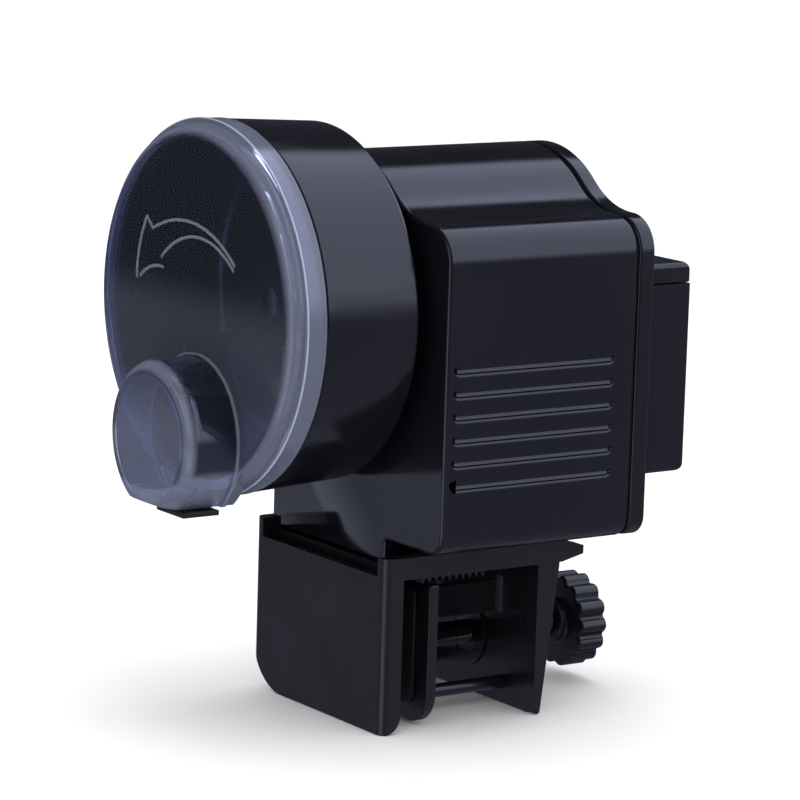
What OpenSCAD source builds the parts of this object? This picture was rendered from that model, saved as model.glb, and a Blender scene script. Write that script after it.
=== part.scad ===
// Automatic fish feeder: motor-turned food drum with a clear dosing lid, a battery housing and a
// screw clamp that grips the rim of a tank. Millimetres, +Z up, drum face towards -Y.
// The origin is the middle of the face that rests on the tank rim, between the two clamp jaws.

/* [Drum] */
// Radius of the clear lid at its rear edge
lid_r = 45; // [44.5:0.1:45.5]
// Depth of the clear lid from its rear edge to its flat face
lid_depth = 9; // [8.5:0.5:9.5]
// Length of the black barrel behind the lid
barrel_len = 27.3; // [26.5:0.1:27.5]
// Radius of the barrel at its rear end
barrel_rear_r = 43.3; // [43:0.1:44]
// Radius of the rounded edge round the lid's face
lid_edge_r = 3.4; // [2.5:0.1:4]
// Distance from the clamp's centre plane to the drum axis
drum_offset = 4.5; // [3.5:0.5:5]

/* [Dosing chamber] */
// Outer radius of the clear dosing cup
cup_r = 19; // [18:0.5:19.5]
// How far the cup stands out of the lid's face
cup_depth = 13.8; // [13:0.1:14]
// Sideways position of the cup from the drum axis
cup_x = 3.5; // [2.5:0.5:4]
// Height of the cup's centre below the drum axis
cup_drop = 29.8; // [29.5:0.1:30.2]
// Height of the flat outlet below the drum axis
outlet_drop = 44.9; // [44.6:0.1:45.2]
// Length of the slide gate that covers part of the outlet
gate_len = 12.3; // [11:0.1:13]
// Travel of the slide gate to the closed position
gate_travel = 8; // [6:0.5:8]

/* [Housing] */
// Width position of the housing's flat grooved side
side_x = 48.4; // [47.5:0.1:49]
// Radius of the domed top
dome_r = 29; // [28.5:0.1:29.5]
// Height of the dome's centre above the drum axis
dome_z = 7.8; // [7.5:0.1:8.2]
// Height of the shoulder on the grooved side
shoulder_z = 23.2; // [22.8:0.1:23.6]
// Radius of the shoulder's corner
corner_r = 9; // [8.5:0.1:9.5]
// Radius of the hollow curve between dome and shoulder
bite_r = 24; // [23:0.5:25]
// Depth of the housing's floor below the drum axis
floor_drop = 55.2; // [55:0.1:56]
// Wall thickness of the housing
case_wall = 2.2; // [2:0.1:2.4]
// Number of grooves on the side
groove_count = 6; // [4:1:7]
// Spacing of the grooves
groove_pitch = 5.53; // [5:0.01:5.6]
// Depth of each groove at its lower lip
groove_deep = 0.8; // [0.5:0.1:1]

/* [Battery box] */
// Height of the battery box
box_h = 52; // [51.5:0.1:53]
// Width of the battery box
box_w = 61; // [60.5:0.1:61.5]
// How far the battery box stands out of the rear cover
box_deep = 13.6; // [13.5:0.1:15]
// Length of one AA cell
cell_len = 50.5; // [50:0.1:50.5]
// Radius of one AA cell
cell_r = 7.1; // [7:0.05:7.2]

/* [Clamp] */
// Width of the clamp bracket
clamp_w = 58.5; // [57:0.5:60]
// Depth of the jaws below the rim seat
jaw_depth = 36; // [35:0.2:37]
// Tank glass gap between the two rubber pads at rest
rim_gap = 6.6; // [6:0.1:7]
// Radius of the clamp screw's thread
screw_r = 3; // [2.8:0.05:3]
// Pitch of the clamp screw's thread
thread_pitch = 1; // [1:0.25:1.5]
// Radius of the thumb knob over its lobes
knob_r = 12; // [11:0.5:12]
// Number of lobes round the thumb knob
knob_lobes = 14; // [12:1:16]

/* [Hidden] */
$fn = 96;
run = 0.05;
slack = 0.3;
eps = 0.01;

// Lengths along Y, measured from the lid's rear edge
lid_face = -lid_depth;
lid_wall = 1.6;
cup_wall = 1.5;
cup_edge_r = 4;
cup_face = lid_face - cup_depth;
cup_z = -cup_drop;
outlet_z = -outlet_drop;
skirt_r = 43;
spigot_r = skirt_r - slack;
barrel_in_r = 41.4;
barrel_floor = 2;
hub_r = 8.5;
hub_len = 12;
spindle_r = 4;
spindle_flat = 3.5;
spindle_tip = 15;
gate_x0 = 5.5;
tongue_len = 6.5;
guide_x0 = gate_x0 - gate_travel - 0.3;
guide_x1 = gate_x0 + tongue_len + 0.6;
guide_y = cup_face + 3.6;

shell_front = 31.5;
shell_rear = 86.5;
front_wall = 2.5;
cover_front = 87.2;
cover_rear = 91.8;
cover_wall = 2.2;
lip_front = 84.4;
dome_x = 4;
left_x = dome_x - dome_r;
floor_z = -floor_drop;
corner_x = side_x - corner_r;
corner_z = shoulder_z - corner_r;
bite_z = shoulder_z + bite_r;
bite_dx = sqrt((dome_r + bite_r) * (dome_r + bite_r) - (bite_z - dome_z) * (bite_z - dome_z));
bite_x = dome_x + bite_dx;
low_r = 5;
collar_r = 24;
collar_front = 28.3;
bush_r = 6.5;
neck_z = -60.8;
neck_x0 = -20.8;
neck_x1 = 24.7;
neck_y1 = 82;
bracket_screw_at = [[-14, 45], [18, 45], [-14, 74], [18, 74]];
skirt_deep = 2.5;
groove_z = -10.75;
groove_h = 2;
groove_y0 = 34.1;
groove_y1 = 80.4;
boss_r = 4;
boss_y0 = 68;
boss_at = [[-19.5, -48.5], [42.6, -48.5], [42.2, 15.2], [-16.5, 22]];

// Gear train, all on axes along Y
gear_module = 0.6;
out_teeth = 48;
idler_teeth = 36;
pinion_teeth = 12;
out_r = gear_module * out_teeth / 2;
idler_r = gear_module * idler_teeth / 2;
pinion_r = gear_module * pinion_teeth / 2;
idler_dir = -50;
idler_x = (out_r + pinion_r) * cos(idler_dir);
idler_z = (out_r + pinion_r) * sin(idler_dir);
motor_dir = -75;
motor_x = idler_x + (idler_r + pinion_r) * cos(motor_dir);
motor_z = idler_z + (idler_r + pinion_r) * sin(motor_dir);
tooth_gap = 0.16;
gear_y0 = 41;
gear_y1 = 46;
wheel_y0 = 47.5;
wheel_y1 = 50.5;
plate_y0 = 36;
plate_y1 = 38;
plate_y2 = 53;
plate_y3 = 55;
plate_x0 = -19.5;
plate_x1 = 29.5;
plate_z0 = -42.5;
plate_z1 = 17.5;
post_inset = 3;
post_r = 3;
arbor_r = 1;
motor_r = 12;
motor_len = 20;
frame_posts = [[plate_x0 + post_inset, plate_z0 + post_inset], [plate_x1 - post_inset, plate_z0 + post_inset],
               [plate_x0 + post_inset, plate_z1 - post_inset], [plate_x1 - post_inset, plate_z1 - post_inset]];

// Circuit board and controls
board_y0 = 78.5;
board_y1 = 80.1;
board_x0 = -11;
board_x1 = 30;
board_z0 = -36;
board_z1 = 32;
low_posts = [[-9, -33], [27, -33]];
high_posts = [[-8, 10], [27, 10]];
button_x = -5;
button_z = 22;
button_r = 4.5;
button_travel = 1;
slide_x = 14;
slide_z = 20;
slide_throw = 3;
led_x = 6.5;
led_z = 30;
led_r = 1.5;

// Battery box, cells lie along X
box_x1 = 45;
box_x0 = box_x1 - box_w;
box_z1 = 11.2;
box_edge = 2.2;
box_z0 = box_z1 - box_h;
box_rear = cover_rear + box_deep;
hood_z = 6.1;
door_wall = 1.5;
door_slack = 0.3;
tray_x0 = box_x0 + door_wall + door_slack;
tray_x1 = box_x1 - door_wall - door_slack;
tray_z0 = box_z0 + door_wall + door_slack;
tray_front = 87.4;
tray_wall = 2;
cell_y = 96.3;
cell_zs = [-6.5, -26.5];
snug = 0.2;

// Clamp, centred on clamp_x
clamp_x = drum_offset;
clamp_x0 = clamp_x - clamp_w / 2;
clamp_x1 = clamp_x + clamp_w / 2;
roof_z = -63.2;
seat_z = -65;
seat_back = 39.2;
jaw_z = seat_z - jaw_depth;
jaw_front = 26;
jaw_back = 31.3;
pad_t = 0.8;
rim_y0 = jaw_back + pad_t;
rim_y1 = rim_y0 + rim_gap;
plate_front = rim_y1 + pad_t;
plate_t = 2.8;
plate_back = plate_front + plate_t;
cheek_w = 3.6;
rail_top = -57.8;
ledge_z = -62.4;
rear_in = 71;
rear_out = 77.4;
tail_y = 84.6;
screw_z = -86;
boss_back = plate_back + 5.7;
nut_y0 = 70.6;
nut_y1 = 75.4;
nut_af = 10;
nut_boss_y = 70.4;
nut_boss_r = 8.5;
shank_y = 95;
knob_y0 = 98.4;
knob_y1 = 106.4;
lobe_r = 1.9;
rod_r = 1.7;
rod_x = 15.5;
rod_z = -95.6;
rod_end = 82;
tongue_x = 13.5;
tongue_w = 2;
tongue_z = -77.9;
tongue_top = -69.5;
tongue_end = 69.5;

seat = [clamp_x, (rim_y0 + rim_y1) / 2, seat_z];

shell_black = [0.03, 0.03, 0.035];
clamp_black = [0.05, 0.05, 0.055];
clear = [0.85, 0.9, 0.95, 0.3];
steel = [0.7, 0.7, 0.72];
brass = [0.8, 0.65, 0.3];
nylon = [0.9, 0.9, 0.86];
board_green = [0.1, 0.35, 0.2];
rubber = [0.12, 0.12, 0.12];

// Helpers. prism_y extrudes an XZ outline, prism_x a YZ outline, turned_y turns (r, y) about Y.
module prism_y(y0, y1) {
  translate([0, y1, 0]) rotate([90, 0, 0]) linear_extrude(y1 - y0) children();
}
module prism_x(x0, x1) {
  translate([x0, 0, 0]) rotate([90, 0, 90]) linear_extrude(x1 - x0) children();
}
module turned_y(x, z) {
  translate([x, 0, z]) rotate([-90, 0, 0]) rotate_extrude() children();
}
module rod_y(x, z, r, y0, y1) {
  translate([x, y0, z]) rotate([-90, 0, 0]) cylinder(r = r, h = y1 - y0);
}
module box(a, b) {
  translate(a) cube([b[0] - a[0], b[1] - a[1], b[2] - a[2]]);
}
module round_rect(x0, y0, x1, y1, r) {
  translate([x0 + r, y0]) square([x1 - x0 - 2 * r, y1 - y0]);
  translate([x0, y0 + r]) square([x1 - x0, y1 - y0 - 2 * r]);
  for (x = [x0 + r, x1 - r])
    for (y = [y0 + r, y1 - r])
      translate([x, y]) circle(r = r);
}

// Housing outline in XZ, moved inwards by i
module case_outline(i) {
  t = [dome_x + (dome_r - i) * bite_dx / (dome_r + bite_r),
       dome_z + (dome_r - i) * (bite_z - dome_z) / (dome_r + bite_r)];
  difference() {
    union() {
      translate([dome_x, dome_z]) circle(r = dome_r - i);
      round_rect(dome_x - dome_r + i, floor_z + i, side_x - i, floor_z + 30, low_r - i);
      translate([dome_x - dome_r + i, floor_z + low_r]) square([dome_r, dome_z - floor_z - low_r]);
      translate([dome_x, floor_z + low_r]) square([side_x - i - dome_x, corner_z - floor_z - low_r]);
      translate([corner_x, corner_z]) circle(r = corner_r - i);
      polygon([[dome_x, dome_z], t, [corner_x, shoulder_z - i], [corner_x, corner_z], [dome_x, floor_z + 20]]);
    }
    translate([bite_x, bite_z]) circle(r = bite_r + i);
  }
}

module front_shell() color(shell_black) difference() {
  union() {
    difference() {
      union() {
        prism_y(shell_front, shell_rear) case_outline(0);
        box([neck_x0, shell_front, neck_z], [neck_x1, neck_y1, floor_z + case_wall]);
        box([left_x, shell_front, neck_z], [neck_x1, shell_front + skirt_deep, floor_z + 8]);
      }
      prism_y(shell_front + front_wall, shell_rear + 1) case_outline(case_wall);
      box([neck_x0 + case_wall, shell_front + skirt_deep + case_wall, neck_z + case_wall],
          [neck_x1 - case_wall, neck_y1 - case_wall, floor_z + 5]);
    }
    rod_y(0, 0, collar_r, collar_front, shell_front + 1);
    rod_y(0, 0, bush_r + 3, shell_front, plate_y0 - 0.5);
    for (p = frame_posts) rod_y(p[0], p[1], post_r, shell_front + 1, plate_y0);
    for (p = boss_at) intersection() {
      rod_y(p[0], p[1], boss_r, boss_y0, lip_front - 0.2);
      prism_y(boss_y0 - 1, shell_rear) case_outline(case_wall / 2);
    }
  }
  rod_y(0, 0, bush_r, collar_front - 1, plate_y0);
  for (i = [0 : groove_count - 1]) translate([0, 0, groove_z - i * groove_pitch])
    prism_y(groove_y0, groove_y1)
      polygon([[side_x - groove_deep, 0], [side_x, -0.45], [side_x + 1, -0.45], [side_x + 1, groove_h + 0.4], [side_x, groove_h]]);
  for (p = frame_posts) rod_y(p[0], p[1], 1.1, shell_front + 1, plate_y0 + 1);
  for (p = boss_at) rod_y(p[0], p[1], 1.2, boss_y0 + 3, lip_front);
  for (p = bracket_screw_at) translate([p[0], p[1], neck_z - 1]) cylinder(r = 1.7, h = case_wall + 2);
}

module rear_cover() color(shell_black) difference() {
  union() {
    difference() {
      union() {
        prism_y(cover_front, cover_rear) case_outline(0);
        prism_y(lip_front, cover_rear - 1) case_outline(case_wall + 0.2);
      }
      prism_y(lip_front - 1, cover_rear - cover_wall) case_outline(case_wall + 1.8);
    }
    for (p = boss_at) intersection() {
      rod_y(p[0], p[1], boss_r, lip_front, cover_rear - 1);
      prism_y(lip_front, cover_rear) case_outline(case_wall + 0.2);
    }
    for (p = high_posts) rod_y(p[0], p[1], 2.4, board_y1, cover_rear - cover_wall + 0.5);
  }
  box([tray_x0 - 0.1, lip_front - 1, tray_z0 - 0.1], [tray_x1 + 0.1, cover_rear + 1, hood_z + 0.1]);
  for (p = boss_at) {
    rod_y(p[0], p[1], 1.5, lip_front - 1, cover_rear);
    rod_y(p[0], p[1], 2.9, cover_rear - 2, cover_rear + 1);
  }
  for (p = high_posts) rod_y(p[0], p[1], 1, board_y1 - 1, cover_rear - cover_wall);
  rod_y(button_x, button_z, button_r + slack, cover_rear - 4, cover_rear + 1);
  box([slide_x - slide_throw - 2.8, cover_rear - 4, slide_z - 2.3],
      [slide_x + slide_throw + 2.8, cover_rear + 1, slide_z + 2.3]);
  rod_y(led_x, led_z, led_r + 0.1, cover_rear - 4, cover_rear + 1);
}

module cover_gasket() color(rubber) prism_y(shell_rear, cover_front) difference() {
  case_outline(0.9);
  case_outline(case_wall - 0.1);
}

module case_screws() color(steel) for (p = boss_at) difference() {
  union() {
    rod_y(p[0], p[1], 1.3, boss_y0 + 5, cover_rear - 1.9);
    rod_y(p[0], p[1], 2.6, cover_rear - 2, cover_rear - 0.5);
  }
  for (a = [0, 90]) translate([p[0], cover_rear - 0.5, p[1]]) rotate([0, a, 0])
    cube([3.4, 1.6, 0.7], center = true);
}

module spindle_bush() color(brass) difference() {
  union() {
    rod_y(0, 0, bush_r, collar_front - 0.4, plate_y0 - 0.5);
    rod_y(0, 0, bush_r + 1.5, collar_front - 0.4, collar_front);
  }
  rod_y(0, 0, spindle_r + run, collar_front - 1, plate_y0);
}

// The battery box's outer block between heights z0 and z1, from y0 to its rear face
module battery_block(y0, z0, z1) intersection() {
  prism_y(y0, box_rear) round_rect(box_x0, box_z0, box_x1, box_z1, 1.5);
  prism_x(box_x0 - 1, box_x1 + 1) round_rect(y0 - 10, box_z0, box_rear, box_z1, box_edge);
  box([box_x0 - 1, y0, z0], [box_x1 + 1, box_rear + 1, z1]);
}

module battery_case() color(shell_black) difference() {
  union() {
    battery_block(cover_rear, hood_z, box_z1 + 1);
    box([tray_x0, tray_front, tray_z0], [tray_x1, box_rear - door_wall - door_slack, hood_z]);
    box([tray_x0, cover_rear, hood_z - 1], [tray_x1, box_rear - door_wall - door_slack, hood_z + 1]);
    for (p = low_posts) rod_y(p[0], p[1], 2.4, board_y1, tray_front + 1);
  }
  box([tray_x0 + tray_wall, tray_front + 1.6, tray_z0 + 1.6],
      [tray_x1 - tray_wall, box_rear, -17.2]);
  box([tray_x0 + tray_wall, tray_front + 1.6, -15.8], [tray_x1 - tray_wall, box_rear, hood_z - 1.2]);
  box([box_x0 + 1.6, cover_rear + 1.6, hood_z + 2.2], [box_x1 - 1.6, box_rear - 1.6, box_z1 - 1.4]);
  for (p = low_posts) rod_y(p[0], p[1], 1, board_y1 - 1, tray_front + 0.5);
}

module battery_cells() color([0.25, 0.3, 0.35]) for (i = [0, 1]) {
  s = i == 0 ? 1 : -1;
  xm = (tray_x0 + tray_x1) / 2 + s * 0.7;
  translate([xm - s * cell_len / 2, cell_y, cell_zs[i]]) rotate([0, s * 90, 0]) union() {
    cylinder(r = cell_r, h = cell_len - 1.4);
    cylinder(r = 2.7, h = cell_len);
  }
}

module cell_contacts() color(steel) {
  x0 = tray_x0 + tray_wall;
  x1 = tray_x1 - tray_wall;
  box([x0, cell_y - 5.5, cell_zs[1] - 5], [x0 + 0.35, cell_y + 4, -17.5]);
  box([x0, cell_y - 5.5, -15.5], [x0 + 0.35, cell_y + 4, cell_zs[0] + 5]);
  box([x1 - 0.35, cell_y - 5.5, cell_zs[1] - 5], [x1, cell_y + 4, -17.5]);
  box([x1 - 0.35, cell_y - 5.5, -15.5], [x1, cell_y + 4, cell_zs[0] + 5]);
  for (k = [0 : 2]) {
    translate([x0 + 0.6 + k * 0.5, cell_y, cell_zs[0]]) rotate([0, 90, 0])
      rotate_extrude() translate([4.2 - k * 0.7, 0]) circle(r = 0.4);
    translate([x1 - 0.6 - k * 0.5, cell_y, cell_zs[1]]) rotate([0, 90, 0])
      rotate_extrude() translate([4.2 - k * 0.7, 0]) circle(r = 0.4);
  }
}

module plate_outline() round_rect(plate_x0, plate_z0, plate_x1, plate_z1, 3);

module gear_frame() color(steel) difference() {
  union() {
    prism_y(plate_y0, plate_y1) plate_outline();
    prism_y(plate_y2, plate_y3) plate_outline();
    for (p = frame_posts) rod_y(p[0], p[1], post_r - 0.4, plate_y1 - 0.5, plate_y2 + 0.5);
  }
  for (p = frame_posts) rod_y(p[0], p[1], 1.35, plate_y0 - 1, plate_y3 + 1);
  rod_y(0, 0, spindle_r + 2, plate_y0 - 1, plate_y1 + 1);
  rod_y(0, 0, 2 + run, plate_y2 - 1, plate_y3 + 1);
  rod_y(idler_x, idler_z, arbor_r, plate_y0 - 1, plate_y3 + 1);
  rod_y(motor_x, motor_z, 3.2, plate_y2 - 1, plate_y3 + 1);
  rod_y(motor_x, motor_z, 3.2, plate_y0 - 1, plate_y1 + 1);
}

module frame_screws() color(steel) for (p = frame_posts) {
  rod_y(p[0], p[1], 1.2, shell_front + 1.6, plate_y3 + 0.1);
  rod_y(p[0], p[1], 2.4, plate_y3, plate_y3 + 1.6);
}

module idler_arbor() color(steel) rod_y(idler_x, idler_z, arbor_r, plate_y0, plate_y3);

module gearmotor() color([0.6, 0.6, 0.62]) difference() {
  union() {
    rod_y(motor_x, motor_z, motor_r, plate_y3, plate_y3 + motor_len);
    rod_y(motor_x, motor_z, 3.1, plate_y2, plate_y3 + 1);
    rod_y(motor_x, motor_z, 4, plate_y3 + motor_len - 1, plate_y3 + motor_len + 1.5);
  }
  rod_y(motor_x, motor_z, arbor_r + run, plate_y2 - 1, plate_y3 + 3);
}

module circuit_board() color(board_green) difference() {
  intersection() {
    prism_y(board_y0, board_y1) round_rect(board_x0, board_z0, board_x1, board_z1, 1.5);
    prism_y(board_y0 - 1, board_y1 + 1) case_outline(case_wall + 0.6);
  }
  for (p = concat(low_posts, high_posts)) rod_y(p[0], p[1], 1.2, board_y0 - 1, board_y1 + 1);
}

module board_parts() color([0.08, 0.08, 0.09]) {
  box([4, board_y1, -22], [14, board_y1 + 1.8, -12]);
  box([17, board_y1, -12], [23, board_y1 + 1.6, -6]);
  rod_y(0, -14, 2.5, board_y1, board_y1 + 5);
  rod_y(20, -22, 3, board_y1, board_y1 + 5);
  rod_y(20, -2, 1.6, board_y1, board_y1 + 4);
  box([button_x - 3, board_y1, button_z - 3], [button_x + 3, board_y1 + 2, button_z + 3]);
  box([slide_x - 6, board_y1, slide_z - 2.6], [slide_x + 6, board_y1 + 4, slide_z + 2.6]);
  box([0, board_y0 - 3.2, -30], [10, board_y0, -24]);
}

module board_screws() color(steel) for (p = concat(low_posts, high_posts)) {
  rod_y(p[0], p[1], 1.05, board_y0 - 0.1, board_y1 + 5);
  rod_y(p[0], p[1], 2, board_y0 - 1.3, board_y0);
}

module status_led() color([0.8, 0.1, 0.1]) {
  rod_y(led_x, led_z, led_r, board_y1, cover_rear + 0.2);
  translate([led_x, cover_rear + 0.2, led_z]) sphere(r = led_r);
  rod_y(led_x, led_z, led_r + 0.4, board_y1, board_y1 + 1);
}

// Side cheek of the clamp bracket in YZ: front jaw edge, top rail and tapering rear jaw
module cheek_outline() {
  tip = 0.9;
  polygon([[jaw_front, rail_top], [tail_y - 6, rail_top], [tail_y, rail_top - 1.8], [tail_y, rail_top - 3.9],
           [rear_out + 0.8, roof_z], [jaw_front, roof_z]]);
  jaw_side(roof_z + 1);
  polygon([[rear_in, roof_z + 1], [rear_out, roof_z + 1], [rear_out, roof_z - 1],
           [rear_in + 0.2 + 2 * tip, jaw_z + tip], [rear_in + 0.2, jaw_z + tip], [rear_in, roof_z - 1]]);
  translate([rear_in + 0.2 + tip, jaw_z + tip]) circle(r = tip);
}

// Side outline of the front jaw in YZ, rounded under its lower inner edge
module jaw_side(top) {
  toe = 4.3;
  translate([jaw_front, jaw_z + toe]) square([jaw_back - jaw_front, top - jaw_z - toe]);
  intersection() {
    translate([jaw_back - toe, jaw_z + toe]) circle(r = toe);
    translate([jaw_front, jaw_z - 1]) square([jaw_back - jaw_front, toe + 2]);
  }
}

// Front jaw panel in XZ with its large lower corner on one side
module jaw_panel() {
  big = 14;
  translate([clamp_x0, jaw_z + big]) square([clamp_w, ledge_z - jaw_z - big]);
  translate([clamp_x0 + big, jaw_z]) square([clamp_w - big - 3, big + 1]);
  translate([clamp_x0 + big, jaw_z + big]) circle(r = big);
  translate([clamp_x1 - 3, jaw_z + 3]) circle(r = 3);
  translate([clamp_x1 - 3, jaw_z + 3]) square([3, big]);
}

module clamp_bracket() color(clamp_black) difference() {
  union() {
    intersection() {
      union() {
        prism_x(clamp_x1 - cheek_w, clamp_x1) cheek_outline();
        difference() {
          prism_x(clamp_x0, clamp_x0 + cheek_w) cheek_outline();
          box([clamp_x0 - 1, jaw_front - 1, jaw_z - 1], [clamp_x0 + cheek_w + 1, jaw_back + 2, ledge_z]);
          box([clamp_x0 - 1, shell_front - 0.2, neck_z],
              [clamp_x0 + cheek_w + 1, shell_front + skirt_deep + 0.4, rail_top + 1]);
        }
        intersection() {
          prism_y(jaw_front, jaw_back) jaw_panel();
          prism_x(clamp_x0, clamp_x1) jaw_side(roof_z + 1);
        }
      }
      translate([0, 0, jaw_z - 1]) linear_extrude(rail_top - jaw_z + 2)
        round_rect(clamp_x0, jaw_front, clamp_x1, tail_y + 5, 2.5);
    }
    box([clamp_x0, jaw_back - 1.1, roof_z], [clamp_x1, tail_y - 7, neck_z]);
    box([clamp_x0, rear_in, jaw_z + 2], [clamp_x1, rear_in + 2.2, roof_z + 1]);
    box([clamp_x0 + 3, rear_in + 0.2, jaw_z], [clamp_x1 - 3, rear_in + 2, jaw_z + 3]);
    box([clamp_x - 22.5, jaw_back - 0.5, seat_z], [clamp_x + 19.5, seat_back, roof_z + 1]);
    rod_y(clamp_x, screw_z, nut_boss_r, nut_boss_y, rear_out);
    for (s = [-1, 1]) {
      rod_y(clamp_x + s * rod_x, rod_z, rod_r + 2, rear_in + 0.3, rear_in + 6.5);
      prism_x(clamp_x + s * 6 - 0.9, clamp_x + s * 6 + 0.9)
        polygon([[rear_in + 1, roof_z + 1], [rear_out, roof_z + 1], [rear_in + 2.5, screw_z], [rear_in + 1, screw_z]]);
    }
    for (i = [0 : 9]) translate([clamp_x1 - 4.75, rim_y1 - 1.8 + i * 1.95, 0])
      prism_x(0, 3.5) polygon([[0, roof_z + 0.5], [0, roof_z], [0.9, seat_z + 0.1], [1.4, roof_z], [1.4, roof_z + 0.5]]);
  }
  box([clamp_x0 + cheek_w, jaw_front + 2.3, jaw_z + 24], [clamp_x1 - cheek_w - 3, jaw_back - 1.2, roof_z + 8]);
  translate([clamp_x, nut_y0 - 1, screw_z]) rotate([-90, 0, 0])
    cylinder(r = (nut_af + 0.1) / 2 / cos(30), h = nut_y1 - nut_y0 + 1, $fn = 6);
  rod_y(clamp_x, screw_z, screw_r + 0.4, nut_boss_y - 1, rear_in + 8);
  for (s = [-1, 1]) {
    rod_y(clamp_x + s * rod_x, rod_z, rod_r + run, rear_in - 1, rear_in + 8);
    box([clamp_x + s * tongue_x - tongue_w / 2 - 0.3, rear_in - 1, tongue_z - 0.4],
        [clamp_x + s * tongue_x + tongue_w / 2 + 0.3, rear_in + 3, tongue_top + 0.4]);
  }
  for (p = bracket_screw_at) translate([p[0], p[1], roof_z + 0.4]) cylinder(r = 1.3, h = 4);
}

module bracket_screws() color(steel) for (p = bracket_screw_at) translate([p[0], p[1], 0]) {
  translate([0, 0, roof_z + 0.5]) cylinder(r = 1.4, h = neck_z + case_wall - roof_z - 0.4);
  translate([0, 0, neck_z + case_wall]) cylinder(r = 2.7, h = 1.7);
}

module clamp_nut() color(steel) difference() {
  translate([clamp_x, nut_y0, screw_z]) rotate([-90, 0, 0])
    cylinder(r = nut_af / 2 / cos(30), h = nut_y1 - nut_y0, $fn = 6);
  rod_y(clamp_x, screw_z, screw_r + run, nut_y0 - 1, nut_y1 + 1);
}

module pad_outline() round_rect(clamp_x - 23, jaw_z + 5, clamp_x + 23, roof_z - 4, 3);

module jaw_pad() color(rubber) prism_y(jaw_back, rim_y0) pad_outline();

module plate_pad() color(rubber) prism_y(rim_y1, plate_front) pad_outline();

module pressure_plate() color(clamp_black) difference() {
  union() {
    prism_y(plate_front, plate_back) difference() {
      round_rect(clamp_x0 + 0.7, jaw_z + 0.5, clamp_x1 - 0.7, roof_z - 2.2 + 8, 8);
      translate([clamp_x0 - 1, roof_z - 2.2]) square([clamp_w + 2, 10]);
    }
    rod_y(clamp_x, screw_z, 6, plate_back - 1, boss_back);
    for (s = [-1, 1]) {
      box([clamp_x + s * tongue_x - tongue_w / 2, plate_back - 1, tongue_z],
          [clamp_x + s * tongue_x + tongue_w / 2, tongue_end, tongue_top]);
      rod_y(clamp_x + s * rod_x, rod_z, rod_r + 1.5, plate_back - 1, plate_back + 3);
    }
    prism_x(clamp_x - 0.9, clamp_x + 0.9)
      polygon([[plate_back - 1, roof_z - 3], [plate_back + 2.5, roof_z - 3], [boss_back, screw_z + 5],
               [boss_back, screw_z + 3], [plate_back - 1, screw_z + 3]]);
  }
  rod_y(clamp_x, screw_z, 2.4 + run, plate_back - 1.5, boss_back + 1);
  for (s = [-1, 1]) rod_y(clamp_x + s * rod_x, rod_z, rod_r, plate_back - 1.2, plate_back + 4);
}

module guide_rods() color(clamp_black) for (s = [-1, 1])
  rod_y(clamp_x + s * rod_x, rod_z, rod_r, plate_back - 1.2, rod_end);

module clamp_screw() color(clamp_black) {
  y0 = boss_back + 0.3;
  n = floor((shank_y - y0) / thread_pitch);
  root = screw_r - 0.45;
  pts = [for (i = [0 : n - 1]) each [[root, y0 + i * thread_pitch + 0.1], [screw_r, y0 + (i + 0.5) * thread_pitch]]];
  turned_y(clamp_x, screw_z) polygon(concat([[0, y0]], [[root, y0]], pts,
    [[root, y0 + n * thread_pitch], [screw_r, shank_y + 0.8], [screw_r, knob_y1 - 1], [0, knob_y1 - 1]]));
  rod_y(clamp_x, screw_z, 2.4, plate_back - 1.4, y0 + 0.1);
}

module thumb_knob() color(clamp_black) difference() {
  union() {
    prism_y(knob_y0, knob_y1) translate([clamp_x, screw_z]) {
      circle(r = knob_r - lobe_r + 0.5);
      for (k = [0 : knob_lobes - 1]) rotate(k * 360 / knob_lobes)
        translate([knob_r - lobe_r, 0]) circle(r = lobe_r);
    }
    rod_y(clamp_x, screw_z, 5.5, knob_y0 - 2, knob_y0 + 1);
  }
  rod_y(clamp_x, screw_z, screw_r, knob_y0 - 3, knob_y1 - 1);
  translate([clamp_x, knob_y1 + 0.2, screw_z]) rotate([-90, 0, 0]) mirror([0, 0, 1])
    cylinder(r1 = 8, r2 = 7.4, h = 1);
}

// Spindle end with two flats; g is the clearance of the hole round it
module flat_outline(g) intersection() {
  circle(r = spindle_r + g);
  translate([-spindle_flat - g, -10]) square([2 * spindle_flat + 2 * g, 20]);
}

module drum_spindle() color(steel) {
  prism_y(spindle_tip, collar_front) flat_outline(0);
  rod_y(0, 0, spindle_r, collar_front - eps, gear_y0 + 0.1);
  rod_y(0, 0, spindle_r + 1.2, plate_y0 - 0.3, gear_y0);
  prism_y(gear_y0, gear_y1 + 0.5) flat_outline(0);
  rod_y(0, 0, 2, gear_y1, plate_y3 + 1);
}

// Spur gear: trapezoid teeth that fit one another with backlash
module gear_outline(teeth, turn) {
  pr = gear_module * teeth / 2;
  root = pr - 1.2 * gear_module;
  tip = pr + 0.9 * gear_module;
  half = 3.1416 * gear_module / 4 - tooth_gap / 2;
  circle(r = root);
  for (k = [0 : teeth - 1]) rotate(turn + k * 360 / teeth)
    polygon([[root - 0.3, -half * 1.55], [root, -half * 1.55], [pr, -half], [tip, -half * 0.5],
             [tip, half * 0.5], [pr, half], [root, half * 1.55], [root - 0.3, half * 1.55]]);
}

// Turns that put a tooth of one gear into a gap of the next on the line between their axes
out_turn = idler_dir;
small_turn = idler_dir + 180 + 180 / pinion_teeth;
wheel_turn = motor_dir;
motor_turn = motor_dir + 180 + 180 / pinion_teeth;

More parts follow.
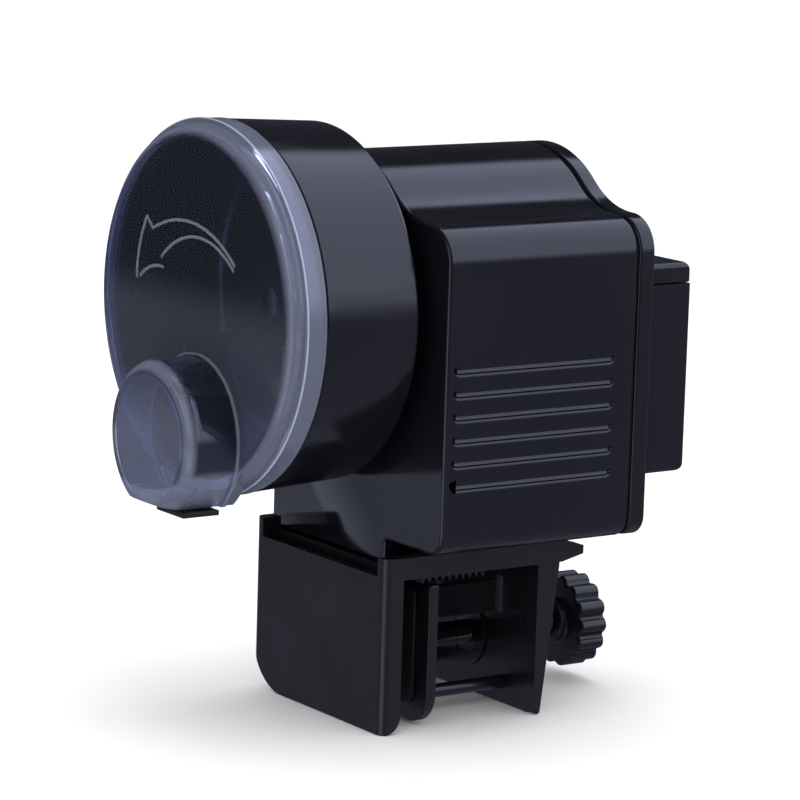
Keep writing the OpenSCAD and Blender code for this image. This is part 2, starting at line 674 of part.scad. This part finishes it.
module output_gear() color(nylon) difference() {
  union() {
    prism_y(gear_y0, gear_y1) gear_outline(out_teeth, out_turn);
    rod_y(0, 0, 6.5, gear_y1 - 1, gear_y1 + 0.5);
  }
  prism_y(gear_y0 - 1, gear_y1 + 2) flat_outline(0);
  for (a = [0 : 60 : 300]) rod_y(9.3 * cos(a), 9.3 * sin(a), 2, gear_y0 - 1, gear_y1 + 1);
}

module idler_gear() color(nylon) difference() {
  translate([idler_x, 0, idler_z]) {
    prism_y(gear_y0 - 1, wheel_y0 + 0.5) gear_outline(pinion_teeth, small_turn);
    prism_y(wheel_y0, wheel_y1) gear_outline(idler_teeth, wheel_turn);
    rod_y(0, 0, 3, wheel_y1 - 1, plate_y2 - 0.4);
  }
  rod_y(idler_x, idler_z, arbor_r + run, gear_y0 - 2, plate_y2 + 1);
}

module motor_pinion() color(brass) {
  translate([motor_x, 0, motor_z]) prism_y(wheel_y0 - 0.5, wheel_y1 + 1) gear_outline(pinion_teeth, motor_turn);
  rod_y(motor_x, motor_z, arbor_r, wheel_y0 - 2, plate_y3 + 2);
}

module drum_barrel() color(shell_black) difference() {
  union() {
    turned_y(0, 0) polygon([[barrel_in_r, -4.5], [spigot_r, -4.5], [spigot_r, slack], [lid_r - 0.4, slack],
      [lid_r - 0.2, slack + 0.5], [barrel_rear_r + 0.1, barrel_len - 1], [barrel_rear_r - 0.9, barrel_len],
      [0, barrel_len], [0, barrel_len - barrel_floor], [barrel_in_r - 1, barrel_len - barrel_floor],
      [barrel_in_r, barrel_len - barrel_floor - 1]]);
    rod_y(0, 0, hub_r, barrel_len - barrel_floor - hub_len, barrel_len - 1);
    for (a = [0 : 90 : 270]) rotate([0, a, 0])
      prism_x(-0.8, 0.8) polygon([[16, hub_r - 1], [barrel_len - 1, hub_r - 1], [barrel_len - 1, 24]]);
  }
  prism_y(barrel_len - barrel_floor - hub_len - 1, barrel_len + 1) flat_outline(0.06);
}

// Two curved vanes that lift the food and hand it to the dosing cup
module drum_baffle() color(clamp_black) intersection() {
  rod_y(0, 0, barrel_in_r - 0.02, -4.2, barrel_len - barrel_floor);
  prism_y(-4.2, barrel_len - barrel_floor) for (v = [[-26, -8, 17.6], [30, -6, 19]]) difference() {
    translate([v[0], v[1]]) circle(r = v[2]);
    translate([v[0], v[1]]) circle(r = v[2] - 1.4);
    translate([-60, -8]) square([120, 70]);
    translate([-60, -70]) square([120, 32]);
  }
}

// Rounded outer section of the lid, (r, y)
function lid_edge() = [for (a = [0 : 15 : 90])
  [lid_r - 0.9 - lid_edge_r + lid_edge_r * cos(a), lid_face + lid_edge_r - lid_edge_r * sin(a)]];
function cup_edge(r, y, e) = [for (a = [0 : 18 : 90]) [r - e + e * cos(a), y + e - e * sin(a)]];

module above_outlet() box([-60, cup_face - 5, outlet_z], [60, 5, 60]);

module lid_ridge(r, a0, a1, x, z) {
  translate([x, lid_face - 0.35, z]) rotate([-90, 0, 0]) rotate([0, 0, -a1])
    rotate_extrude(angle = a1 - a0) translate([r - 0.35, 0]) square([0.7, 0.6]);
}

module drum_lid() color(clear) difference() {
  union() {
    turned_y(0, 0) polygon(concat([[skirt_r - 1, 0], [lid_r, 0], [lid_r, -4.9], [lid_r + 0.25, -5],
      [lid_r + 0.25, -5.3], [lid_r - 0.3, -5.5]], lid_edge(), [[0, lid_face], [0, lid_face + lid_wall],
      [skirt_r - 1, lid_face + lid_wall]]));
    intersection() {
      union() {
        turned_y(cup_x, cup_z) polygon(concat([[0, -5.5], [cup_r, -5.5]], cup_edge(cup_r, cup_face, cup_edge_r), [[0, cup_face]]));
        rod_y(cup_x, cup_z, cup_r + 0.8, lid_face - 0.7, lid_face + 0.5);
      }
      above_outlet();
    }
    lid_ridge(34.2, 50, 116, -2.7, -13.5);
    lid_ridge(24.3, 49, 134, 2.9, -6.9);
    lid_ridge(28.1, 148, 181, 2.9, 4.7);
    lid_ridge(14.1, 84, 132, -14.3, -5.7);
    translate([-21, 0, 19.7]) rotate([0, 41, 0]) box([0, lid_face - 0.35, -0.35], [4.2, lid_face + 0.2, 0.35]);
  }
  turned_y(0, 0) polygon([[0, lid_face + lid_wall], [skirt_r - 2.2, lid_face + lid_wall], [skirt_r, lid_face + lid_wall + 2],
    [skirt_r, 1], [0, 1]]);
  difference() {
    turned_y(cup_x, cup_z) polygon(concat([[0, lid_face], [cup_r - cup_wall, lid_face]],
      cup_edge(cup_r - cup_wall, cup_face + cup_wall, cup_edge_r - cup_wall), [[4, cup_face + cup_wall],
      [4, cup_face + cup_wall + 0.3], [0, cup_face + cup_wall + 0.3]]));
    box([guide_x0 - 1.2, cup_face - 1, outlet_z - 1], [guide_x1 + 1.2, guide_y, outlet_z + 3]);
  }
  intersection() {
    rod_y(cup_x, cup_z, cup_r - cup_wall, lid_face - 0.1, lid_face + 3);
    rod_y(0, 0, skirt_r - 2.2, lid_face - 1, lid_face + 4);
  }
  box([guide_x0, guide_y, outlet_z - 1], [guide_x1, lid_face, outlet_z + 0.8]);
  box([guide_x0, guide_y - 1.5, outlet_z + 0.7], [guide_x1, lid_face + 0.7, outlet_z + 2.1]);
}

// Slide gate: plate under the outlet, with a tongue that runs in two grooves inside the cup
module portion_gate() color(clamp_black) {
  box([gate_x0, cup_face + 1.9, outlet_z - 1.5], [gate_x0 + gate_len, lid_face - 2, outlet_z - 0.2]);
  box([gate_x0 + 0.2, guide_y + 0.3, outlet_z - 0.3], [gate_x0 + 0.2 + tongue_len, lid_face - 0.3, outlet_z + 1]);
  box([gate_x0 + 0.2, guide_y - 1.3, outlet_z + 0.9], [gate_x0 + 0.2 + tongue_len, lid_face + 0.4, outlet_z + 1.9]);
}

module battery_door() color(shell_black) {
  gap = 0.2;
  difference() {
    battery_block(cover_rear + gap, box_z0 - 1, hood_z - gap);
    box([box_x0 + door_wall, cover_rear - 1, box_z0 + door_wall], [box_x1 - door_wall, box_rear - door_wall, hood_z + 1]);
  }
  for (x = [box_x0 + door_wall - 0.1, box_x1 - door_wall - snug])
    for (z = [-30, -6])
      box([x, cover_rear + 1.5, z - 0.6], [x + snug + 0.1, box_rear - 1, z + 0.6]);
  for (i = [0 : 5])
    box([14.5 - 9, box_rear - 0.2, -34 + i * 2.4], [14.5 + 9, box_rear + 0.5, -33.1 + i * 2.4]);
}

module mode_slider() color(clamp_black) {
  box([slide_x - 2.5, cover_rear - cover_wall - 1.8, slide_z - 1.9], [slide_x + 2.5, cover_rear + 1.6, slide_z + 1.9]);
  box([slide_x - 7.5, cover_rear - cover_wall - 1.7, slide_z - 3.6], [slide_x + 7.5, cover_rear - cover_wall - 0.3, slide_z + 3.6]);
  for (k = [-1, 0, 1]) box([slide_x + k * 1.5 - 0.3, cover_rear + 1.5, slide_z - 1.7], [slide_x + k * 1.5 + 0.3, cover_rear + 2, slide_z + 1.7]);
}

module feed_button() color([0.7, 0.12, 0.1]) {
  turned_y(button_x, button_z) polygon([[0, board_y1 + 3.3], [1.6, board_y1 + 3.3], [1.6, cover_rear - cover_wall - 1.7],
    [button_r + 1.2, cover_rear - cover_wall - 1.7], [button_r + 1.2, cover_rear - cover_wall - 0.2],
    [button_r, cover_rear - cover_wall - 0.2], [button_r, cover_rear + 1.3], [button_r - 0.5, cover_rear + 1.8],
    [0, cover_rear + 1.8]]);
}

module place() translate(-seat) children();

place() {
  front_shell();
  rear_cover();
  cover_gasket();
  case_screws();
  spindle_bush();
  battery_case();
  battery_cells();
  cell_contacts();
  gear_frame();
  frame_screws();
  idler_arbor();
  gearmotor();
  circuit_board();
  board_parts();
  board_screws();
  status_led();
  clamp_bracket();
  bracket_screws();
  clamp_nut();
  jaw_pad();
  drum_spindle();
  output_gear();
  drum_barrel();
  drum_baffle();
  drum_lid();
  portion_gate();
  idler_gear();
  motor_pinion();
  pressure_plate();
  plate_pad();
  guide_rods();
  clamp_screw();
  thumb_knob();
  battery_door();
  mode_slider();
  feed_button();
}
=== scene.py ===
import bpy
import math
from mathutils import Matrix, Vector

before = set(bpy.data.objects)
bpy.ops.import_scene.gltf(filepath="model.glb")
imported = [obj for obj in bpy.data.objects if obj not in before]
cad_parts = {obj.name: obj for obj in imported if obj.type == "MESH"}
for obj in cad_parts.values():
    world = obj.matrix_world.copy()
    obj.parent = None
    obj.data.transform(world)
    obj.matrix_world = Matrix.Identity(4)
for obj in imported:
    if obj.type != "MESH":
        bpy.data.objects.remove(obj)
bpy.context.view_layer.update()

# ---------------------------------------------------------------- places
# The CAD origin is the rim seat. SEAT is that point measured from the drum axis, in metres.
SEAT = Vector((0.0045, 0.0354, -0.065))


def at(x, y, z):
    """A point given in millimetres from the drum axis at the lid's rear edge."""
    return Vector((x, y, z)) / 1000 - SEAT


# ---------------------------------------------------------------- camera
SENSOR = 36  # millimetres
PICTURE = 800  # the picture's width, in the units of the focal length below


def make_camera():
    azimuth, elevation, roll = (math.radians(v) for v in (55.51, 10.03, 1.76))
    distance, side, rise, focal = 918.17, 41.93, -22.25, 3855.87
    level = math.cos(elevation)
    back = Vector((math.sin(azimuth) * level, -math.cos(azimuth) * level, math.sin(elevation)))
    flat = Vector((math.cos(azimuth), math.sin(azimuth), 0))
    over = back.cross(flat)
    right = flat * math.cos(roll) + over * math.sin(roll)
    up = over * math.cos(roll) - flat * math.sin(roll)
    eye = at(*(back * distance + right * side + up * rise))
    data = bpy.data.cameras.new("camera")
    data.sensor_width = SENSOR
    data.lens = focal * SENSOR / PICTURE
    data.clip_start, data.clip_end = 0.05, 20
    cam = bpy.data.objects.new("camera", data)
    bpy.context.scene.collection.objects.link(cam)
    cam.matrix_world = Matrix((
        (right.x, up.x, back.x, eye.x),
        (right.y, up.y, back.y, eye.y),
        (right.z, up.z, back.z, eye.z),
        (0, 0, 0, 1)))
    bpy.context.scene.camera = cam


make_camera()


# ---------------------------------------------------------------- materials
class Graph:
    """Adds nodes to one shader tree, links them and does sums with them."""

    def __init__(self, tree):
        self.tree = tree
        tree.nodes.clear()

    def add(self, kind, **values):
        node = self.tree.nodes.new(kind)
        for key, value in values.items():
            if hasattr(node, key):
                setattr(node, key, value)
            else:
                node.inputs[key].default_value = value
        return node

    def link(self, a, b):
        self.tree.links.new(a, b)

    def feed(self, value, socket):
        if hasattr(value, "links"):
            self.link(value, socket)
        else:
            socket.default_value = value

    def maths(self, kind, a, b):
        node = self.add("ShaderNodeMath", operation=kind)
        self.feed(a, node.inputs[0])
        self.feed(b, node.inputs[1])
        return node.outputs[0]

    def times(self, a, b):
        return self.maths("MULTIPLY", a, b)

    def less(self, a, b):
        return self.maths("SUBTRACT", a, b)

    def plus(self, a, b):
        return self.maths("ADD", a, b)

    def most(self, a, b):
        return self.maths("MAXIMUM", a, b)

    def step(self, value, low, high, a=0.0, b=1.0):
        """Goes smoothly from a to b while value goes from low to high."""
        node = self.add("ShaderNodeMapRange", interpolation_type="SMOOTHSTEP")
        self.feed(value, node.inputs["Value"])
        for name, v in (("From Min", low), ("From Max", high), ("To Min", a), ("To Max", b)):
            self.feed(v, node.inputs[name])
        return node.outputs[0]

    def blend(self, fac, a, b):
        return self.plus(self.times(a, self.less(1.0, fac)), self.times(b, fac))

    def split(self, vector):
        node = self.add("ShaderNodeSeparateXYZ")
        self.link(vector, node.inputs[0])
        return node.outputs


class Nodes(Graph):
    """One procedural material: a principled shader and the object's own coordinates."""

    def __init__(self, name):
        self.mat = bpy.data.materials.new(name)
        self.mat.use_nodes = True
        super().__init__(self.mat.node_tree)
        out = self.add("ShaderNodeOutputMaterial")
        self.bsdf = self.add("ShaderNodeBsdfPrincipled")
        self.link(self.bsdf.outputs[0], out.inputs["Surface"])
        self.coord = self.add("ShaderNodeTexCoord").outputs["Object"]

    def put(self, name, value):
        self.bsdf.inputs[name].default_value = value

    def noise(self, scale, detail=3, rough=0.5):
        n = self.add("ShaderNodeTexNoise", Scale=scale, Detail=detail, Roughness=rough)
        self.link(self.coord, n.inputs["Vector"])
        return n.outputs["Fac"]

    def ramp(self, fac, stops):
        r = self.add("ShaderNodeValToRGB")
        el = r.color_ramp.elements
        while len(el) < len(stops):
            el.new(0.5)
        for e, (pos, value) in zip(el, stops):
            e.position = pos
            e.color = (value, value, value, 1) if isinstance(value, float) else (*value, 1)
        self.link(fac, r.inputs["Fac"])
        return r.outputs["Color"]

    def rough(self, low, high, scale, detail=4):
        m = self.add("ShaderNodeMapRange")
        m.inputs["From Min"].default_value = 0.35
        m.inputs["From Max"].default_value = 0.65
        m.inputs["To Min"].default_value = low
        m.inputs["To Max"].default_value = high
        self.link(self.noise(scale, detail), m.inputs["Value"])
        self.link(m.outputs[0], self.bsdf.inputs["Roughness"])

    def bump(self, fac, distance, strength=1.0, previous=None):
        b = self.add("ShaderNodeBump", Distance=distance, Strength=strength)
        self.link(fac, b.inputs["Height"])
        if previous is not None:
            self.link(previous, b.inputs["Normal"])
        self.link(b.outputs["Normal"], self.bsdf.inputs["Normal"])
        return b.outputs["Normal"]


def gloss_plastic(name, colour, edge, low, high, wave=0.00003):
    m = Nodes(name)
    m.link(m.ramp(m.noise(18, 5), [(0.3, colour), (0.7, edge)]), m.bsdf.inputs["Base Color"])
    m.rough(low, high, 60, 6)
    m.put("IOR", 1.5)
    first = m.bump(m.noise(55, 2), wave)
    m.bump(m.noise(900, 2), 0.000004, 0.6, first)
    return m.mat


def satin_plastic(name, colour, edge, low, high, grain=2600, depth=0.00002):
    m = Nodes(name)
    m.link(m.ramp(m.noise(25, 5), [(0.3, colour), (0.7, edge)]), m.bsdf.inputs["Base Color"])
    m.rough(low, high, 90, 5)
    m.bump(m.noise(grain, 3, 0.6), depth, 0.7)
    return m.mat


def metal(name, colour, low, high, brush=(1, 1, 1), grain=1500, depth=0.000008):
    m = Nodes(name)
    m.put("Metallic", 1.0)
    shade = tuple(c * 0.82 for c in colour)
    m.link(m.ramp(m.noise(40, 4), [(0.3, shade), (0.7, colour)]), m.bsdf.inputs["Base Color"])
    m.rough(low, high, 220, 5)
    mapping = m.add("ShaderNodeMapping")
    mapping.inputs["Scale"].default_value = brush
    m.link(m.coord, mapping.inputs["Vector"])
    n = m.add("ShaderNodeTexNoise", Scale=grain, Detail=4.0)
    m.link(mapping.outputs[0], n.inputs["Vector"])
    m.bump(n.outputs["Fac"], depth, 0.8)
    return m.mat


CLEAR_IOR = 1.49


def clear_body(name, tint, low, high):
    m = Nodes(name)
    m.put("Base Color", (*tint, 1))
    m.put("IOR", CLEAR_IOR)
    m.rough(low, high, 70, 4)
    m.bump(m.noise(45, 2), 0.000008, 0.5)
    return m


def lens_plastic(name, tint):
    m = clear_body(name, tint, 0.048, 0.128)
    m.put("Transmission Weight", 1.0)
    return m.mat


# The dosing cup's axis, across and up from the drum axis, in millimetres.
CUP = (3.5, -29.8)
# Painted highlights on the lid's rims, ridge and bead, and a painted reflection on its lower face: each is
# the share of that surface turned from clear to light-scattering, so that it shows lighter.
RIM_HIGHLIGHT, RIDGE_HIGHLIGHT, BEAD_HIGHLIGHT, PAINTED_REFLECTION = 0.13, 0.2, 0.5, 0.035
CLEARNESS = 0.99


def lid_plastic(name):
    """Clear smoky plastic, with painted highlights as milkier lines on the rims, the bead, the cup's
    flange and the arrow, and a painted reflection as a milkier lower face.

    Radii are in metres. Depths are in millimetres along the drum axis, negative towards the lid's face.
    """
    m = clear_body(name, (0.62, 0.67, 0.88), 0.008, 0.02)
    x, y, z = m.split(m.coord)

    def radius(across, up):
        centre = at(across, 0, up)
        x2 = m.maths("POWER", m.less(x, centre.x), 2)
        z2 = m.maths("POWER", m.less(z, centre.z), 2)
        return m.maths("SQRT", m.plus(x2, z2), 0)

    def behind(low, high):
        return m.step(y, at(0, low, 0).y, at(0, high, 0).y)

    def in_front(low, high):
        return m.less(1, behind(low, high))

    drum, cup = radius(0, 0), radius(*CUP)
    # Painted highlights: thin milky bands on the drum rim, the cup's front rim, the ridge and the bead
    # stand in for light caught on those edges.
    rim = m.step(drum, 0.0408, 0.0424)
    cup_rim = m.times(m.step(cup, 0.0156, 0.0172), in_front(-21, -19.6))
    ridge = m.times(m.step(cup, 0.0192, 0.0194), in_front(-9.2, -9.08))
    bead = m.times(m.step(drum, 0.0449, 0.04505), behind(-5.6, -5.3))
    bead = m.times(bead, in_front(-5, -4.8))
    # Painted reflection: the lid face turns milkier from about the drum axis downwards, standing in for a
    # reflection of the floor; the cup's side is left out of it.
    lower_reflection = m.less(1, m.step(z, at(0, 0, -4).z, at(0, 0, 9).z))
    cup_side = m.times(m.step(cup, 0.0184, 0.0187), in_front(-10, -9.5))
    lower_reflection = m.times(lower_reflection, m.less(1, cup_side))
    # painted_light gathers the painted highlights and the painted reflection and takes them from the
    # clearness.
    painted_light = m.most(m.times(m.most(rim, cup_rim), RIM_HIGHLIGHT), m.times(ridge, RIDGE_HIGHLIGHT))
    painted_light = m.most(painted_light, m.times(bead, BEAD_HIGHLIGHT))
    painted_light = m.most(painted_light, m.times(lower_reflection, PAINTED_REFLECTION))
    m.link(m.less(CLEARNESS, painted_light), m.bsdf.inputs["Transmission Weight"])
    return m.mat


black = gloss_plastic("gloss_black", (0.0035, 0.0035, 0.0055), (0.006, 0.006, 0.009), 0.1, 0.16)
drum_black = gloss_plastic("drum_black", (0.0035, 0.0035, 0.0055), (0.006, 0.006, 0.009), 0.12, 0.18)
clamp_black = satin_plastic("clamp_black", (0.0045, 0.0045, 0.006), (0.008, 0.008, 0.01), 0.26, 0.34)
knob_black = satin_plastic("knob_black", (0.004, 0.004, 0.006), (0.008, 0.008, 0.01), 0.28, 0.36)
rod_black = gloss_plastic("rod_black", (0.005, 0.005, 0.007), (0.008, 0.008, 0.011), 0.16, 0.24)
gate_black = satin_plastic("gate_black", (0.003, 0.003, 0.004), (0.006, 0.006, 0.007), 0.28, 0.38)
baffle_black = satin_plastic("baffle_black", (0.006, 0.007, 0.012), (0.01, 0.011, 0.018), 0.25, 0.35)
clear = lid_plastic("clear_plastic")
rubber = satin_plastic("pad_rubber", (0.008, 0.008, 0.009), (0.014, 0.014, 0.015), 0.6, 0.8, 1800, 0.00005)
seal = satin_plastic("seal_rubber", (0.002, 0.002, 0.002), (0.004, 0.004, 0.004), 0.6, 0.8)
steel = metal("steel", (0.62, 0.62, 0.64), 0.22, 0.36)
dark_steel = metal("dark_steel", (0.12, 0.12, 0.13), 0.28, 0.42)
spring_steel = metal("spring_steel", (0.75, 0.74, 0.72), 0.15, 0.25)
plate_steel = metal("plate_steel", (0.6, 0.6, 0.6), 0.3, 0.42, (1, 1, 12))
can_steel = metal("motor_can", (0.55, 0.56, 0.58), 0.25, 0.35, (1, 14, 1))
brass = metal("brass", (0.78, 0.58, 0.26), 0.2, 0.32)
nylon = satin_plastic("nylon", (0.78, 0.77, 0.71), (0.86, 0.85, 0.8), 0.38, 0.5)
board = gloss_plastic("board_green", (0.01, 0.12, 0.05), (0.02, 0.18, 0.08), 0.25, 0.35)
chip = satin_plastic("chip_black", (0.012, 0.012, 0.012), (0.025, 0.025, 0.025), 0.45, 0.6)
jacket = gloss_plastic("cell_jacket", (0.08, 0.11, 0.18), (0.1, 0.14, 0.22), 0.25, 0.35)
led = lens_plastic("led_lens", (0.9, 0.12, 0.08))
grey = satin_plastic("control_grey", (0.2, 0.205, 0.22), (0.26, 0.265, 0.28), 0.35, 0.45)
red = gloss_plastic("button_red", (0.35, 0.015, 0.012), (0.42, 0.02, 0.016), 0.25, 0.32)

LOOK = {
    "front_shell": black, "rear_cover": black, "battery_case": black, "battery_door": black,
    "cover_gasket": seal, "case_screws": steel, "spindle_bush": brass, "battery_cells": jacket,
    "cell_contacts": spring_steel, "gear_frame": plate_steel, "frame_screws": steel, "idler_arbor": steel,
    "gearmotor": can_steel, "circuit_board": board, "board_parts": chip, "board_screws": steel,
    "status_led": led, "clamp_bracket": clamp_black, "bracket_screws": steel, "clamp_nut": dark_steel,
    "jaw_pad": rubber, "drum_spindle": steel, "output_gear": nylon, "drum_barrel": drum_black,
    "drum_baffle": baffle_black, "drum_lid": clear, "portion_gate": gate_black, "idler_gear": nylon,
    "motor_pinion": brass, "pressure_plate": clamp_black, "plate_pad": rubber, "guide_rods": rod_black,
    "clamp_screw": rod_black, "thumb_knob": knob_black, "mode_slider": grey, "feed_button": red,
}
# Width of each rounded edge, in millimetres. Nodes that aren't named keep the edges they have in the CAD.
EDGE = {
    "front_shell": 1.0, "rear_cover": 0.8, "battery_case": 0.5,
    "clamp_bracket": 0.35, "pressure_plate": 0.6, "thumb_knob": 0.8, "drum_barrel": 0.4,
    "portion_gate": 0.25, "mode_slider": 0.3, "feed_button": 0.3,
    "jaw_pad": 0.25, "plate_pad": 0.25, "gearmotor": 0.6,
}


# Only the outer corners of these parts are rounded, so that no fillet reaches into a slot.
OUTER_ONLY = ("rear_cover", "pressure_plate", "mode_slider")
# The shell's corners left of this x, in metres, stay sharp: rounding them threw a spike into the clamp.
SHELL_LEFT = -0.026
EVERYWHERE = -1
CORNER = math.radians(40)


def marked_edges(angle_name, left):
    """Marks a part's corners of CORNER or more, right of left, for its bevel."""
    group = bpy.data.node_groups.new("marked_edges", "GeometryNodeTree")
    for way in ("INPUT", "OUTPUT"):
        group.interface.new_socket("Geometry", in_out=way, socket_type="NodeSocketGeometry")
    new, link = group.nodes.new, group.links.new

    def maths(kind, a, b):
        node = new("ShaderNodeMath")
        node.operation = kind
        link(a, node.inputs[0])
        if hasattr(b, "links"):
            link(b, node.inputs[1])
        else:
            node.inputs[1].default_value = b
        return node.outputs[0]

    place = new("ShaderNodeSeparateXYZ")
    link(new("GeometryNodeInputPosition").outputs[0], place.inputs[0])
    sharp = maths("GREATER_THAN", new("GeometryNodeInputMeshEdgeAngle").outputs[angle_name], CORNER)
    inside = maths("GREATER_THAN", place.outputs[0], left)
    store = new("GeometryNodeStoreNamedAttribute")
    store.data_type = "FLOAT"
    store.domain = "EDGE"
    store.inputs["Name"].default_value = "bevel_weight_edge"
    link(maths("MULTIPLY", sharp, inside), store.inputs["Value"])
    link(new("NodeGroupInput").outputs[0], store.inputs["Geometry"])
    link(store.outputs[0], new("NodeGroupOutput").inputs[0])
    return group


def round_edges(obj, width):
    weld = obj.modifiers.new("weld", "WELD")
    weld.merge_threshold = 0.000002
    flat = obj.modifiers.new("flat", "DECIMATE")
    flat.decimate_type = "DISSOLVE"
    flat.angle_limit = math.radians(0.4)
    group = None
    if obj.name in OUTER_ONLY:
        group = marked_edges("Signed Angle", EVERYWHERE)
    elif obj.name == "front_shell":
        group = marked_edges("Unsigned Angle", SHELL_LEFT)
    if group:
        obj.modifiers.new("marked", "NODES").node_group = group
    edge = obj.modifiers.new("edge", "BEVEL")
    edge.width = width / 1000
    edge.segments = 4
    edge.limit_method = "WEIGHT" if group else "ANGLE"
    edge.angle_limit = CORNER
    edge.use_clamp_overlap = obj.name == "clamp_bracket"
    edge.miter_outer = "MITER_ARC"
    normals = obj.modifiers.new("normals", "WEIGHTED_NORMAL")
    normals.weight = 60


for name, mat in LOOK.items():
    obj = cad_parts[name]
    for slot in obj.material_slots:
        slot.material = mat
    if name in EDGE:
        round_edges(obj, EDGE[name])


# ---------------------------------------------------------------- floor and light
LOWEST = -101  # the feeder's lowest point, in millimetres from the drum axis
FLOOR_GAP = 0.0001  # metres
FLOOR_HALF = 3.0  # metres
WHITE_LEVEL = 1.15


def floor_and_light():
    mesh = bpy.data.meshes.new("floor")
    low = at(0, 0, LOWEST).z - FLOOR_GAP
    s = FLOOR_HALF
    mesh.from_pydata([(-s, -s, low), (s, -s, low), (s, s, low), (-s, s, low)], [], [(0, 1, 2, 3)])
    floor = bpy.data.objects.new("floor", mesh)
    bpy.context.scene.collection.objects.link(floor)
    m = Nodes("floor_paper")
    paper = m.ramp(m.noise(3, 3), [(0.3, (0.93, 0.93, 0.935)), (0.7, (0.95, 0.95, 0.955))])
    m.link(paper, m.bsdf.inputs["Base Color"])
    m.rough(0.8, 0.9, 20)
    m.bump(m.noise(400, 3), 0.00003, 0.5)
    mesh.materials.append(m.mat)
    floor.visible_glossy = False
    floor.visible_transmission = False
    bpy.context.scene.view_settings.view_transform = "Standard"
    studio()


def studio():
    """White for the camera and for soft light.

    Reflections, and what is seen through clear plastic, meet a dim, bluish set of softboxes instead.
    """
    world = bpy.data.worlds.new("studio")
    world.use_nodes = True
    world.cycles.sampling_method = "NONE"
    g = Graph(world.node_tree)
    x, y, z = g.split(g.add("ShaderNodeTexCoord").outputs["Generated"])
    behind = g.plus(g.step(x, -0.45, -0.33, 0.05, 0.28),
                    g.times(g.step(x, -0.45, -0.33), g.step(z, -0.08, 0.2, 0.0, 1.5)))
    low = g.step(z, -0.24, -0.215, 0.22, 0.5)
    ahead = g.blend(g.step(z, -0.185, -0.165), low, 0.06)
    strip = g.times(g.step(x, -0.1, 0.05, 0.0, 1.3), g.step(x, 0.45, 0.6, 1.0, 0.0))
    ahead = g.plus(ahead, g.times(strip, g.step(y, -0.8, -0.7, 1.0, 0.0)))
    level = g.blend(g.step(y, -0.15, 0.15), ahead, behind)
    soft = g.add("ShaderNodeBackground", Color=(0.78, 0.83, 1.12, 1))
    g.link(level, soft.inputs["Strength"])
    plain = g.add("ShaderNodeBackground", Color=(1, 1, 1, 1), Strength=WHITE_LEVEL)
    path = g.add("ShaderNodeLightPath").outputs
    mix = g.add("ShaderNodeMixShader")
    g.link(g.most(path["Is Camera Ray"], path["Is Diffuse Ray"]), mix.inputs[0])
    g.link(soft.outputs[0], mix.inputs[1])
    g.link(plain.outputs[0], mix.inputs[2])
    g.link(mix.outputs[0], g.add("ShaderNodeOutputWorld").inputs[0])
    bpy.context.scene.world = world

    data = bpy.data.lights.new("top", "AREA")
    data.shape = "RECTANGLE"
    data.size, data.size_y, data.energy = 1.2, 0.9, 6
    lamp = bpy.data.objects.new("top", data)
    bpy.context.scene.collection.objects.link(lamp)
    lamp.location = (0.1, 0.1, 1.3)
    lamp.visible_glossy = False


floor_and_light()
